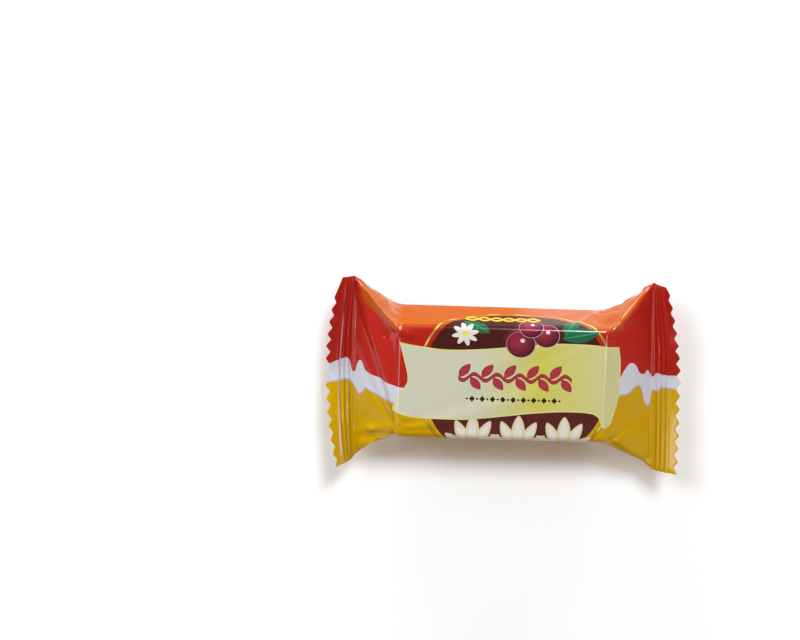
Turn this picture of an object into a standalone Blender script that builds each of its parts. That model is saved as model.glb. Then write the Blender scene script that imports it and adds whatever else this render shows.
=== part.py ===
"""A wrapped caramel: one sealed pillow pack of printed film round a bar, lying on its back seam, face up.

The pack starts as a flat closed tube of film, a thin box cut into a grid, and is then folded point by point.
Over the bar it is a rounded box. At each end its face and back slope together to a flat crimped fin with a
zigzag edge, and its side walls flare out into ears, because the flattened tube is wider than the bar.
X runs along the bar, the printed face looks up, and the top of the print is at +Y.
"""

import math

import bmesh
import bpy
from mathutils import Vector

# Driving sizes, in metres
BAR_LENGTH = 0.0450
BAR_WIDTH = 0.0268
BAR_HEIGHT = 0.0150
SLOPE_RUN = 0.0088
FILM_WIDTH = 0.0410
FIN_WIDTH = 0.0065
FIN_THICKNESS = 0.0005
FACE_CROWN = 0.0006
SIDE_CROWN = 0.0004

# How softly the film bends
CORNER_RADIUS = 0.0028
EAR_RADIUS = 0.0008
SHOULDER_ROUNDING = 0.0016
SEAL_ROUNDING = 0.0004

# The crimped fins
CRIMP_PITCH = 0.00104
CRIMP_START = -CRIMP_PITCH / 4
CRIMP_COUNT = 4
CRIMP_DEPTH = 0.00028
HALF_TEETH = 29
TOOTH_DEPTH = 0.0012
FIN_BEND_RUN = 0.0010

# Each fin curls up and flares out towards its corners: left and right, in degrees
FIN_LIFT = {-1: 6.0, 1: 18.0}
TOP_CURL = {-1: 54.0, 1: 42.0}
BOTTOM_CURL = {-1: 48.0, 1: 22.0}
CURL_SOFTNESS = 0.15
FIN_FLARE = {-1: 0.0006, 1: 0.0001}

# The upper corner of the left fin is tucked back, which leaves a slanting edge without teeth
TUCK_TOP = 0.0012
TUCK_SIDE = 0.0043

# The flap of the back seam, folded flat under the bar
SEAM_LOW = -0.0030
SEAM_HIGH = 0.0062
SEAM_THICKNESS = 0.0004
SEAM_FIN_THICKNESS = 0.00012
SEAM_STEP = 0.00015

# Grid of the film
BODY_ROWS = 18
SLOPE_ROWS = 12
WALL_LEVELS = 4

# Folds that dent the film: end, side, two places on the fold as distances along, across and above the
# fins' level, then how deep and how wide it is
FOLDS = (
    (-1, 1, (0.0205, 0.0134, 0.0), (0.0290, 0.0190, 0.0), 0.0012, 0.0026),
    (-1, 1, (0.0228, 0.0128, 0.0070), (0.0262, 0.0165, -0.0010), 0.0006, 0.0013),
    (-1, -1, (0.0210, 0.0134, -0.0010), (0.0285, 0.0185, 0.0), 0.0011, 0.0024),
    (-1, -1, (0.0228, 0.0130, 0.0066), (0.0300, 0.0190, 0.0016), 0.0013, 0.0030),
    (1, 1, (0.0210, 0.0134, -0.0020), (0.0280, 0.0185, -0.0010), 0.0014, 0.0022),
    (1, 1, (0.0222, 0.0134, 0.0050), (0.0245, 0.0150, -0.0040), 0.0009, 0.0012),
    (1, 1, (0.0200, 0.0134, -0.0050), (0.0235, 0.0140, 0.0010), 0.0007, 0.0012),
    (1, -1, (0.0205, 0.0134, 0.0), (0.0290, 0.0188, 0.0), 0.0010, 0.0026),
    (-1, 1, (0.0235, 0.0030, 0.0068), (0.0290, 0.0110, 0.0026), 0.0003, 0.0014),
    (1, -1, (0.0238, 0.0040, 0.0066), (0.0300, 0.0070, 0.0018), 0.0003, 0.0014),
    (1, -1, (0.0232, 0.0124, 0.0066), (0.0296, 0.0186, 0.0014), 0.0006, 0.0020),
)

FILM_COLOUR = (0.76, 0.42, 0.01, 1.0)
FILM_ROUGHNESS = 0.2
SHARP_FROM_DEGREES = 35

SEAL = BAR_LENGTH / 2 + SLOPE_RUN
PACK_END = SEAL + FIN_WIDTH
HALF_FILM = FILM_WIDTH / 2
HALF_THICKNESS = FIN_THICKNESS / 2
SAME_PLACE = 1e-6


def soft_min(a, b, reach):
    """The smaller of two sizes, rounded off where they cross."""
    near = max(reach - abs(a - b), 0.0) / reach
    return min(a, b) - near * near * reach / 4


def soft_max(a, b, reach):
    return -soft_min(-a, -b, reach)


def ease(share):
    share = min(max(share, 0.0), 1.0)
    return share * share * (3 - 2 * share)


def rows():
    """Distances from the middle of the pack at which the film is cut across, towards either end."""
    found = [BAR_LENGTH * n / BODY_ROWS for n in range(BODY_ROWS // 2 + 1)]
    found += [BAR_LENGTH / 2 + SLOPE_RUN * n / SLOPE_ROWS for n in range(1, SLOPE_ROWS + 1)]
    found += [SEAL + CRIMP_START + CRIMP_PITCH / 2 * n for n in range(1, 2 * CRIMP_COUNT + 1)]
    found.append(PACK_END - 1.25 * TOOTH_DEPTH)
    return found


def columns():
    """Places across the film at which it is cut along: every tooth's tip and notch, and the seam's edges."""
    found = [FILM_WIDTH * (n / HALF_TEETH - 0.5) for n in range(1, HALF_TEETH)]
    return found + [SEAM_LOW - SEAM_STEP, SEAM_LOW, SEAM_HIGH, SEAM_HIGH + SEAM_STEP]


def levels():
    """Heights at which the thin edge of the flat tube is cut, which becomes the pack's side wall."""
    return [HALF_THICKNESS * n / WALL_LEVELS for n in range(1 - WALL_LEVELS, WALL_LEVELS)]


def section_sizes(distance):
    """Half width, half height and corner radius of the pack at a distance from its middle."""
    run = (distance - BAR_LENGTH / 2) / SLOPE_RUN
    half_height = soft_min(BAR_HEIGHT / 2, BAR_HEIGHT / 2 * (1 - run), SHOULDER_ROUNDING)
    half_height = soft_max(half_height, HALF_THICKNESS, SEAL_ROUNDING)
    flare = (FILM_WIDTH - BAR_WIDTH) / 2 * run
    half_width = soft_max(BAR_WIDTH / 2, BAR_WIDTH / 2 + flare, SHOULDER_ROUNDING)
    half_width = soft_min(half_width, HALF_FILM, SEAL_ROUNDING)
    radius = CORNER_RADIUS + (EAR_RADIUS - CORNER_RADIUS) * ease(run * 1.5)
    return half_width, half_height, min(radius, 0.98 * half_height)


def on_section(point, half_width, half_height, radius):
    """Place and outward direction, out to the side and up, of a point of the flat tube on a rounded section."""
    flat = half_width - radius
    bend = radius * math.pi / 2
    upright = half_height - radius
    corner = flat + bend / 2
    if abs(point.y) < HALF_FILM - SAME_PLACE:
        along = corner * abs(point.y) / HALF_FILM
    else:
        along = corner + (1 - abs(point.z) / HALF_THICKNESS) * (bend / 2 + upright)
    if along <= flat:
        return along, half_height, 0.0, 1.0
    if along <= flat + bend:
        angle = (along - flat) / radius
        out, up = math.sin(angle), math.cos(angle)
        return flat + radius * out, upright + radius * up, out, up
    return half_width, upright - (along - flat - bend), 1.0, 0.0


def fold_depth(place):
    """How far the folds push the film in at one place of the undented pack."""
    depth = 0.0
    for end, side, start, stop, deep, wide in FOLDS:
        near = Vector((place.x * end, place.y * side, place.z))
        start = Vector(start)
        line = Vector(stop) - start
        share = min(max((near - start).dot(line) / line.length_squared, 0.0), 1.0)
        away = (near - start - share * line).length
        depth += deep * max(1 - away / wide, 0.0)
    return depth


def crimp_wave(beyond):
    """Height of the crimped ridges at a distance beyond the seal's inner edge."""
    turns = (beyond - CRIMP_START) / CRIMP_PITCH
    if not 0 < turns < CRIMP_COUNT:
        return 0.0
    return CRIMP_DEPTH * (1 - math.cos(2 * math.pi * turns)) / 2


def cut_edge(end, across):
    """How far in from the tooth tips a fin is cut off: zigzag, and slanting at the tucked corner."""
    from_corner = HALF_FILM - across
    if end < 0 and from_corner < TUCK_SIDE:
        return TUCK_TOP * (1 - from_corner / TUCK_SIDE)
    turns = (across + HALF_FILM) * HALF_TEETH / FILM_WIDTH / 2
    return TOOTH_DEPTH * (1 - abs(1 - 2 * (turns % 1.0)))


def in_seam(point):
    return point.z < -SAME_PLACE and SEAM_LOW <= point.y <= SEAM_HIGH


def over_bar(point):
    """A point of the flat tube, folded over the bar and its sloping ends."""
    side = -1 if point.y < 0 else 1
    face = -1 if point.z < 0 else 1
    half_width, half_height, radius = section_sizes(abs(point.x))
    out, up, out_way, up_way = on_section(point, half_width, half_height, radius)
    lengthwise = max(1 - (abs(point.x) / SEAL) ** 2, 0.0)
    if face > 0:
        up += FACE_CROWN * up_way * max(1 - (out / half_width) ** 2, 0.0) * lengthwise
    out += SIDE_CROWN * out_way * max(1 - (up / half_height) ** 2, 0.0) * lengthwise
    place = Vector((point.x, side * out, face * up))
    if face > 0 or out_way > 0:
        place -= Vector((0, side * out_way, face * up_way)) * fold_depth(place)
    if in_seam(point):
        place.z -= SEAM_THICKNESS
    return place


def fin_angle(end, across):
    """How far a fin is bent up at a place across it, in radians."""
    place = across / HALF_FILM
    curl = TOP_CURL[end] if place > 0 else BOTTOM_CURL[end]
    share = (1 + CURL_SOFTNESS) * place * place / (abs(place) + CURL_SOFTNESS)
    return math.radians(FIN_LIFT[end] + curl * share)


def on_fin(point):
    """A point of the flat tube, on one of the two crimped fins."""
    end = -1 if point.x < 0 else 1
    beyond = abs(point.x) - SEAL
    if beyond > FIN_WIDTH - TOOTH_DEPTH / 2:
        beyond -= cut_edge(end, point.y)
    height = point.z + crimp_wave(beyond)
    if in_seam(point):
        height -= SEAM_FIN_THICKNESS
    angle = fin_angle(end, point.y) * ease(beyond / FIN_BEND_RUN)
    along = beyond * math.cos(angle) - height * math.sin(angle)
    across = point.y * (1 + FIN_FLARE[end] * beyond / FIN_WIDTH / HALF_FILM)
    return Vector((end * (SEAL + along), across, beyond * math.sin(angle) + height * math.cos(angle)))


def folded(point):
    """Where a point of the flat tube ends up in the finished pack."""
    return on_fin(point) if abs(point.x) > SEAL + SAME_PLACE else over_bar(point)


def cut(mesh, place, direction):
    """Cuts the whole mesh along a plane, leaving both sides joined."""
    everything = mesh.verts[:] + mesh.edges[:] + mesh.faces[:]
    bmesh.ops.bisect_plane(mesh, geom=everything, dist=1e-8, plane_co=place, plane_no=direction)


def flat_tube():
    """The flattened tube of film, a closed thin box with a cut at every row, column and level."""
    mesh = bmesh.new()
    bmesh.ops.create_cube(mesh, size=1.0)
    bmesh.ops.scale(mesh, vec=(2 * PACK_END, FILM_WIDTH, FIN_THICKNESS), verts=mesh.verts)
    for distance in rows():
        for x in sorted({distance, -distance}):
            cut(mesh, (x, 0, 0), (1, 0, 0))
    for y in columns():
        cut(mesh, (0, y, 0), (0, 1, 0))
    for z in levels():
        cut(mesh, (0, 0, z), (0, 0, 1))
    return mesh


def stand(mesh):
    """Rests the pack on its lowest point, with the middle of its footprint over the origin."""
    for axis in range(3):
        places = [vert.co[axis] for vert in mesh.verts]
        low, high = min(places), max(places)
        shift = low if axis == 2 else (low + high) / 2
        for vert in mesh.verts:
            vert.co[axis] -= shift


def film_material():
    material = bpy.data.materials.new("printed_film")
    material.use_nodes = True
    shader = material.node_tree.nodes["Principled BSDF"]
    shader.inputs["Base Color"].default_value = FILM_COLOUR
    shader.inputs["Roughness"].default_value = FILM_ROUGHNESS
    shader.inputs["Metallic"].default_value = 0.0
    return material


def make_pack(collection):
    """The wrapped caramel, one closed solid."""
    mesh = flat_tube()
    for vert in mesh.verts:
        vert.co = folded(vert.co)
    stand(mesh)
    bmesh.ops.recalc_face_normals(mesh, faces=mesh.faces)
    data = bpy.data.meshes.new("wrapped_caramel")
    mesh.to_mesh(data)
    mesh.free()
    data.materials.append(film_material())
    data.shade_smooth()
    data.set_sharp_from_angle(angle=math.radians(SHARP_FROM_DEGREES))
    pack = bpy.data.objects.new("wrapped_caramel", data)
    collection.objects.link(pack)
    return pack


def main():
    for old in list(bpy.data.objects):
        bpy.data.objects.remove(old)
    collection = bpy.data.collections.new("wrapped caramel candy")
    bpy.context.scene.collection.children.link(collection)
    make_pack(collection)


main()
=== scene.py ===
# %% [markdown]
# # A wrapped caramel in printed film
#
# This lesson dresses a small solid, a sealed pillow pack of sweet-shop film, so that it looks like the real
# thing. The solid comes from a file and stays as it is. All that is new here is the film that replaces it,
# the flap of its back seam, the print on it, and a table, lights and a camera.

# %% Load the solid and measure it
import math

import bpy
import numpy as np
from mathutils import Matrix, Vector


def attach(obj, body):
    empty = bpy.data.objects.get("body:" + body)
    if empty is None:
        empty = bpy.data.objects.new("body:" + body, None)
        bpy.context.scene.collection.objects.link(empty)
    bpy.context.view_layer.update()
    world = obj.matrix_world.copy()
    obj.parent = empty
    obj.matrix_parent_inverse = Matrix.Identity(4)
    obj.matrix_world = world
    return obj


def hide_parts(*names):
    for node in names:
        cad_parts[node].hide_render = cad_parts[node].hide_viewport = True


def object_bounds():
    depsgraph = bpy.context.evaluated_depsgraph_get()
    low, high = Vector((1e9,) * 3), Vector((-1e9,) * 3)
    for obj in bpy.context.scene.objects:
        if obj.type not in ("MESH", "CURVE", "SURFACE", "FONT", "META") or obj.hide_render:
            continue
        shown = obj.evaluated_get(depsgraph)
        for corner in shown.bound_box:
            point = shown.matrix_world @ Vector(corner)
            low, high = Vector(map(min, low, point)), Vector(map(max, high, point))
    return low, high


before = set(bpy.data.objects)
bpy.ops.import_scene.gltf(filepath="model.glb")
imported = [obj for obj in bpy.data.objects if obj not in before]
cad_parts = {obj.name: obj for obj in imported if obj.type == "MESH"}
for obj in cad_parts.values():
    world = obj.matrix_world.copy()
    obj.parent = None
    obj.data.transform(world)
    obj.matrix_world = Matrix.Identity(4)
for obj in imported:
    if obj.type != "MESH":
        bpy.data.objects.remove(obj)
solid_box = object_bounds()
low, high = solid_box
print("solid, in millimetres:", [round(1000 * (b - a), 1) for a, b in zip(low, high)])

# %% [markdown]
# ## The sizes of the pack
#
# The film was a flat tube before it was filled, so its sizes are those of a flat tube: how wide it lay,
# where each seal starts and how far the crimped fins reach past it. The bar inside sets the rest. The
# middle of the pack, where the fins meet it, is halfway up the bar.

# %% Sizes of the bar and the film
BAR_LENGTH = 0.0450
BAR_WIDTH = 0.0258
BAR_HEIGHT = 0.0150
SLOPE_RUN = 0.0095
HALF_FILM = 0.0205
FIN_WIDTH = 0.0060
SEAL = BAR_LENGTH / 2 + SLOPE_RUN
PACK_END = SEAL + FIN_WIDTH
MIDDLE = Vector((0.0, 0.0, 0.0079))
print("fins start at", SEAL, "and end at", PACK_END)

# %% [markdown]
# ## Camera
#
# The photograph was taken with a long lens, square to the printed face and a little from above the pack, so
# its upper side wall just shows. The camera is turned by its own three axes, which is simpler than angles
# when the view is nearly straight down. The pack sits right of the middle of the picture and below it, so
# the camera is slid along its own axes, and no lens shift is needed.

# %% Place the camera
PICTURE_WIDTH = 800
PICTURE_HEIGHT = 640
PACK_AT = (503.6, 372.4)
METRES_PER_PIXEL = 0.0002132
LENS = 85.0
SENSOR = 36.0
VIEW_TILT = math.radians(14.8)
VIEW_TURN = math.radians(1.0)
VIEW_ROLL = math.radians(1.5)


def camera_axes():
    """The camera's right, up and backward directions."""
    back = Vector((math.sin(VIEW_TURN), math.sin(VIEW_TILT), math.cos(VIEW_TILT))).normalized()
    right = Vector((0, 1, 0)).cross(back).normalized()
    up = back.cross(right)
    turned_right = right * math.cos(VIEW_ROLL) + up * math.sin(VIEW_ROLL)
    return turned_right, back.cross(turned_right), back


right, up, back = camera_axes()
distance = METRES_PER_PIXEL * LENS * PICTURE_WIDTH / SENSOR
aside = (PACK_AT[0] - PICTURE_WIDTH / 2) * METRES_PER_PIXEL
below = (PACK_AT[1] - PICTURE_HEIGHT / 2) * METRES_PER_PIXEL
camera_data = bpy.data.cameras.new("camera")
camera_data.lens = LENS
camera_data.sensor_width = SENSOR
camera_data.clip_start = 0.01
camera = bpy.data.objects.new("camera", camera_data)
bpy.context.scene.collection.objects.link(camera)
camera.matrix_world = Matrix((right, up, back)).transposed().to_4x4()
camera.location = MIDDLE + back * distance - right * aside + up * below
bpy.context.scene.camera = camera
print("camera at", [round(c, 3) for c in camera.location])

# %% [markdown]
# ## Table and light
#
# The photograph has a white table that is lit past white, with light all round and most of it from beyond
# the pack's upper edge. A softbox there draws the bright line along the face's edge and throws the soft
# shadow below the pack, and a broad lamp beside it makes the left end the lighter one. Two low lamps behind
# make the upper side wall glow and glint on the ears. Lamps at the sides, cards in front and thin strips
# overhead are there to be mirrored by the slopes and the ridges of the fins. The room's own light is warm,
# so the shadow is too. Each lamp has its place and size in metres and its power in watts.

# %% Lay the table and hang the lamps
TABLE_SIZE = 3.0
bpy.ops.mesh.primitive_plane_add(size=TABLE_SIZE, location=(0, 0, 0))
table = bpy.context.object
table.name = "table"


def lamp(name, place, size, power, colour):
    """A soft rectangular lamp that shines at the pack."""
    data = bpy.data.lights.new(name, "AREA")
    data.shape = "RECTANGLE"
    data.size, data.size_y = size
    data.energy = power
    data.color = colour
    made = bpy.data.objects.new(name, data)
    bpy.context.scene.collection.objects.link(made)
    made.location = place
    made.rotation_euler = (Vector(place) - MIDDLE).to_track_quat("Z", "Y").to_euler()


KEY = (0.87, 0.94, 1.0)
CARD = (1.0, 0.93, 0.88)
ROOM_COLOUR = (1.0, 0.66, 0.38)
ROOM_STRENGTH = 0.18
lamp("softbox", (0.20, 0.68, 0.87), (0.24, 0.26), 8.1, KEY)
lamp("broad_left", (-0.48, 0.52, 0.80), (0.36, 0.30), 4.8, KEY)
lamp("side_left", (-0.76, 0.45, 0.25), (0.22, 0.26), 1.5, KEY)
lamp("side_right", (0.76, 0.45, 0.25), (0.24, 0.30), 1.2, KEY)
lamp("card_left", (-0.62, -0.50, 0.15), (0.66, 0.34), 0.5, CARD)
lamp("card_right", (0.66, -0.48, 0.15), (0.60, 0.34), 0.2, CARD)
lamp("strip_left", (-0.62, -0.22, 0.72), (0.12, 0.30), 0.7, CARD)
lamp("strip_right", (0.62, -0.22, 0.72), (0.12, 0.30), 0.6, CARD)
lamp("rim_left", (-0.31, 0.90, 0.17), (0.34, 0.20), 4.2, KEY)
lamp("rim_right", (0.34, 0.90, 0.17), (0.28, 0.20), 3.0, KEY)

world = bpy.data.worlds.new("room")
bpy.context.scene.world = world
world.use_nodes = True
room = world.node_tree.nodes["Background"]
room.inputs["Color"].default_value = (*ROOM_COLOUR, 1)
room.inputs["Strength"].default_value = ROOM_STRENGTH
bpy.context.scene.view_settings.view_transform = "Standard"
print("lamps:", len(bpy.data.lights))

# %% [markdown]
# ## Helpers for modelling by hand
#
# Blender's edit-mode operators act on whatever is selected, so each step starts by clearing the selection
# and then picks points, edges or faces by their place. Steps that move every point by a formula read all
# the places at once and put them back.

# %% Selecting, reading and putting back
MILLIMETRES = 1000


def mode(name):
    """Opens or leaves edit mode."""
    bpy.ops.object.mode_set(mode=name)


def only(piece):
    """Makes one piece the selected and active one."""
    if bpy.context.object and bpy.context.object.mode != "OBJECT":
        mode("OBJECT")
    bpy.ops.object.select_all(action="DESELECT")
    piece.select_set(True)
    bpy.context.view_layer.objects.active = piece


def clear_selection(mesh):
    """Deselects all points, edges and faces."""
    for group in (mesh.vertices, mesh.edges, mesh.polygons):
        group.foreach_set("select", np.zeros(len(group), bool))


def pick_edges(piece, wanted):
    """Selects the edges whose two ends pass a test, and opens edit mode on them."""
    only(piece)
    mesh = piece.data
    clear_selection(mesh)
    bpy.context.tool_settings.mesh_select_mode = (False, True, False)
    for edge in mesh.edges:
        ends = [mesh.vertices[n].co for n in edge.vertices]
        edge.select = wanted(*ends)
    mode("EDIT")


def rows(group, name):
    """Three numbers for each element of a mesh, as an array of rows."""
    found = np.empty(3 * len(group), np.float32)
    group.foreach_get(name, found)
    return found.reshape(-1, 3).astype(float)


def places(mesh):
    """All vertex places."""
    return rows(mesh.vertices, "co")


def put(mesh, where):
    """Moves all vertices to the places given."""
    mesh.vertices.foreach_set("co", np.ascontiguousarray(where, float).ravel())
    mesh.update()


# %% [markdown]
# ## The tube of film
#
# A flow wrap starts as a reel of film that is folded round into a tube and welded along its back. So the
# model starts as an open cylinder, with its sides as the columns of a grid. Two cuts mark where the seals
# start. The stretch between them gets the rows that the film needs to crease, and each fin gets closer
# rows, because its ridges are fine.

# %% Make the tube and cut its rows
COLUMNS = 116
BODY_CUTS = 65
FIN_CUTS = 24
TUBE_RADIUS = 2 * HALF_FILM / math.pi

bpy.ops.mesh.primitive_cylinder_add(
    vertices=COLUMNS, radius=TUBE_RADIUS, depth=2 * PACK_END, end_fill_type="NOTHING",
    location=(0, 0, 0), rotation=(0, math.pi / 2, 0))
film = bpy.context.object
film.name = "printed_wrapper"
only(film)
bpy.ops.object.transform_apply(location=True, rotation=True, scale=True)


def cut_tube(piece, along):
    """Cuts a ring of edges into the tube."""
    only(piece)
    mode("EDIT")
    bpy.ops.mesh.select_all(action="SELECT")
    bpy.ops.mesh.bisect(plane_co=(along, 0, 0), plane_no=(1, 0, 0))
    mode("OBJECT")


def add_rows(piece, start, stop, cuts):
    """Divides the stretch of tube between two places along it."""
    slack = 1e-5

    def lies_between(a, b):
        near, far = sorted((a.x, b.x))
        return far - near > slack and near > start - slack and far < stop + slack

    pick_edges(piece, lies_between)
    bpy.ops.mesh.subdivide(number_cuts=cuts)
    mode("OBJECT")


for along in (-SEAL, 0.0, SEAL):
    cut_tube(film, along)
add_rows(film, -SEAL, 0.0, BODY_CUTS)
add_rows(film, 0.0, SEAL, BODY_CUTS)
add_rows(film, -PACK_END, -SEAL, FIN_CUTS)
add_rows(film, SEAL, PACK_END, FIN_CUTS)
print("tube:", len(film.data.vertices), "points")

# %% [markdown]
# ## Where each point lies on the flat film
#
# Print, ridges and teeth all belong to the flat film, so every point keeps its flat place in an attribute
# before anything is folded: how far along, how far across, and whether it is on the face or the back. Finer
# points that are added later get theirs by interpolation, which works because all three change evenly.

# %% Store the flat places
EDGE_SLACK = 0.0001


def flat_places(mesh):
    """Along, across, and 1 on the face, -1 on the back, 0 on the tube's two edges."""
    found = places(mesh)
    round_tube = np.arctan2(found[:, 1], found[:, 2]) / math.pi
    turn = np.abs(round_tube)
    across = np.where(turn <= 0.5, turn, 1 - turn) * 2 * HALF_FILM * np.sign(round_tube)
    side = np.where(turn < 0.5 - EDGE_SLACK, 1.0, np.where(turn > 0.5 + EDGE_SLACK, -1.0, 0.0))
    return np.column_stack((found[:, 0], across, side))


def store(mesh, values):
    """Keeps three numbers for every point."""
    kept = mesh.attributes.new("flat", "FLOAT_VECTOR", "POINT")
    kept.data.foreach_set("vector", np.ascontiguousarray(values, np.float32).ravel())


def stored(mesh):
    """The three numbers that every point keeps."""
    return rows(mesh.attributes["flat"].data, "vector")


store(film.data, flat_places(film.data))
print("half width of the flat film:", stored(film.data)[:, 1].max())

# %% [markdown]
# ## Folding the tube round the bar
#
# Over the bar the section is a rounded box. Towards each seal the face and back slope together, and the
# side walls flare out, because the flat tube is wider than the bar. The corners get sharper on the way, and
# that is what makes the ears of a pillow pack. The solid's own sizes are nearly the same, and the two agree
# to about a millimetre.

# %% The section of the pack at any distance from its middle
CORNER_RADIUS = 0.0014
EAR_RADIUS = 0.0006
SHOULDER_ROUNDING = 0.0016
SEAL_ROUNDING = 0.0004
FILM_PAIR = 0.00012
FACE_TAPER = 0.022
FACE_SHIFT = -0.0003
BAR_PLACE = -0.0006
EARLY = 1.5
ROUNDEST = 0.98


def soft_min(a, b, reach):
    """The smaller of two lengths, with the corner between them rounded off."""
    near = np.maximum(reach - np.abs(a - b), 0) / reach
    return np.minimum(a, b) - near * near * reach / 4


def soft_max(a, b, reach):
    """The larger of two lengths, with the corner between them rounded off."""
    return -soft_min(-a, -b, reach)


def ease(share):
    """Goes from 0 to 1 with a soft start and a soft end."""
    share = np.clip(share, 0, 1)
    return share * share * (3 - 2 * share)


def section(along):
    """Half width, half height and corner radius of the pack, with the bar a little left of its middle."""
    along = along - BAR_PLACE * (1 - np.clip(np.abs(along) / SEAL, 0, 1) ** 6)
    run = (np.abs(along) - BAR_LENGTH / 2) / SLOPE_RUN
    half_height = soft_min(BAR_HEIGHT / 2, BAR_HEIGHT / 2 * (1 - run), SHOULDER_ROUNDING)
    half_height = soft_max(half_height, FILM_PAIR / 2, SEAL_ROUNDING)
    flare = (HALF_FILM - BAR_WIDTH / 2) * run
    half_width = soft_max(BAR_WIDTH / 2, BAR_WIDTH / 2 + flare, SHOULDER_ROUNDING)
    half_width = soft_min(half_width, HALF_FILM, SEAL_ROUNDING)
    radius = CORNER_RADIUS + (EAR_RADIUS - CORNER_RADIUS) * ease(run * EARLY)
    return half_width, half_height, np.minimum(radius, ROUNDEST * half_height)


def lean(where):
    """Makes the face a little narrower than the back and moves it down the print, as the sweet itself is."""
    along, across, up = where.T
    over_bar = 1 - ease((np.abs(along) - BAR_LENGTH / 2) / SLOPE_RUN)
    narrower = 1 - FACE_TAPER * over_bar * np.clip(up / (BAR_HEIGHT / 2), -1, 1)
    return np.column_stack((along, across * narrower + FACE_SHIFT * over_bar, up))


def fold_over_bar(flat):
    """Folds flat places over the bar and its sloping ends, about the middle of the pack."""
    along, across, side = flat.T
    half_width, half_height, radius = section(along)
    flat_part = half_width - radius
    bend = radius * math.pi / 2
    upright = half_height - radius
    way = np.abs(across) / HALF_FILM * (flat_part + bend + upright)
    angle = np.clip((way - flat_part) / radius, 0, math.pi / 2)
    down_wall = np.maximum(way - flat_part - bend, 0)
    out = np.minimum(way, flat_part) + radius * np.sin(angle)
    up = upright + radius * np.cos(angle) - down_wall
    return lean(np.column_stack((along, np.sign(across) * out, side * up)))


put(film.data, fold_over_bar(stored(film.data)))
print("folded, in millimetres:", (np.ptp(places(film.data), axis=0) * MILLIMETRES).round(1))

# %% [markdown]
# ## Letting the film crease by itself
#
# Film is a little bigger than what it holds, and its spare width has to go somewhere. A cloth simulation
# finds out where: the film tries to get back to the relaxed tube that it was, round a hard bar, with its
# fins held, a breath of air inside and no gravity. A few small dents, pressed in first, keep the creases
# from being the same at both ends. Each dent has its end, its side, where its line starts and stops, its
# depth and its width.

# %% Push the film out of its perfect shape
SEAL_STRIP = 0.0004
DENTS = (
    (-1, 1, (0.0205, 0.0134, 0.0), (0.0290, 0.0190, 0.0), 0.0012, 0.0026),
    (-1, 1, (0.0228, 0.0128, 0.0070), (0.0262, 0.0165, -0.0010), 0.0006, 0.0013),
    (-1, -1, (0.0210, 0.0134, -0.0010), (0.0285, 0.0185, 0.0), 0.0011, 0.0024),
    (-1, -1, (0.0228, 0.0130, 0.0066), (0.0300, 0.0190, 0.0016), 0.0013, 0.0030),
    (1, 1, (0.0210, 0.0134, -0.0020), (0.0280, 0.0185, -0.0010), 0.0014, 0.0022),
    (1, 1, (0.0222, 0.0134, 0.0050), (0.0245, 0.0150, -0.0040), 0.0009, 0.0012),
    (1, -1, (0.0205, 0.0134, 0.0), (0.0290, 0.0188, 0.0), 0.0010, 0.0026),
    (1, -1, (0.0232, 0.0124, 0.0066), (0.0296, 0.0186, 0.0014), 0.0006, 0.0020),
)


def distance_to_line(where, start, stop):
    """How far each place is from a line between two points."""
    start, stop = np.array(start), np.array(stop)
    line = stop - start
    share = np.clip((where - start) @ line / (line @ line), 0, 1)
    return np.linalg.norm(where - start - share[:, None] * line, axis=1)


def dent(where, flat, normals):
    """Pushes the film in along the dents."""
    moved = where.copy()
    free = np.abs(flat[:, 0]) < SEAL - SEAL_STRIP
    for end, side, start, stop, depth, width in DENTS:
        away = distance_to_line(where * (end, side, 1), start, stop)
        push = depth * np.clip(1 - away / width, 0, 1) * free
        moved -= normals * push[:, None]
    return moved


def normals_of(mesh):
    """The direction out of the film at every point."""
    return rows(mesh.vertices, "normal")


flat = stored(film.data)
where = places(film.data)
outward = normals_of(film.data)
if np.sum(outward[:, 1:] * where[:, 1:]) < 0:
    film.data.flip_normals()
    outward = -outward
put(film.data, dent(where, flat, outward))
print("dents:", len(DENTS))

# %% [markdown]
# ## The bar inside
#
# In the sweet, a bar of caramel carries the film. Here it is a cube with bevelled edges that leans as the
# film does, and it goes again once the film has settled on it. Film and bar are enlarged twenty times
# meanwhile, because the cloth solver is tuned for clothes.

# %% The hard bar inside
ENLARGED = 20.0
BAR_INSIDE = (0.0436, 0.0244, 0.0136)
BAR_EDGE = 0.0007
BAR_SKIN = 0.0003


def hard_bar():
    """The sweet itself, only there for the film to press on."""
    bpy.ops.mesh.primitive_cube_add(size=1.0, location=(0, 0, 0))
    bar = bpy.context.object
    bar.name = "bar_inside"
    bar.scale = [ENLARGED * size for size in BAR_INSIDE]
    only(bar)
    bpy.ops.object.transform_apply(scale=True)
    round_off = bar.modifiers.new("edges", "BEVEL")
    round_off.width = BAR_EDGE * ENLARGED
    round_off.segments = 3
    bpy.ops.object.modifier_apply(modifier="edges")
    put(bar.data, (lean(places(bar.data) / ENLARGED) + np.array((BAR_PLACE, 0, 0))) * ENLARGED)
    bar.modifiers.new("press", "COLLISION")
    bar.collision.thickness_outer = BAR_SKIN * ENLARGED
    return bar


# %% [markdown]
# ## The film settles
#
# The folded film is longer on its slopes than a flat drawing of it, so the relaxed tube is drawn out there.
# It is the rest shape of the cloth: where the folded film is shorter than that it slackens, and creases
# form. The frames are stepped through one by one, and the last shape is kept as the mesh. Over the middle
# of the face, where the bar is broad and flat, most of each wrinkle is then taken out again.

# %% Run the cloth and keep its result
FRAMES = 30
SLOPE_STRETCH = 1.234
WAIST = 0.030
HELD_FROM = 0.0001
CLOTH_GAP = 0.0004
FLAT_LENGTH = 0.0150
FLAT_LENGTH_FADE = 0.0060
FLAT_WIDTH = 0.0085
FLAT_WIDTH_FADE = 0.0035
HELD_FLAT = 0.65


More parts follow.
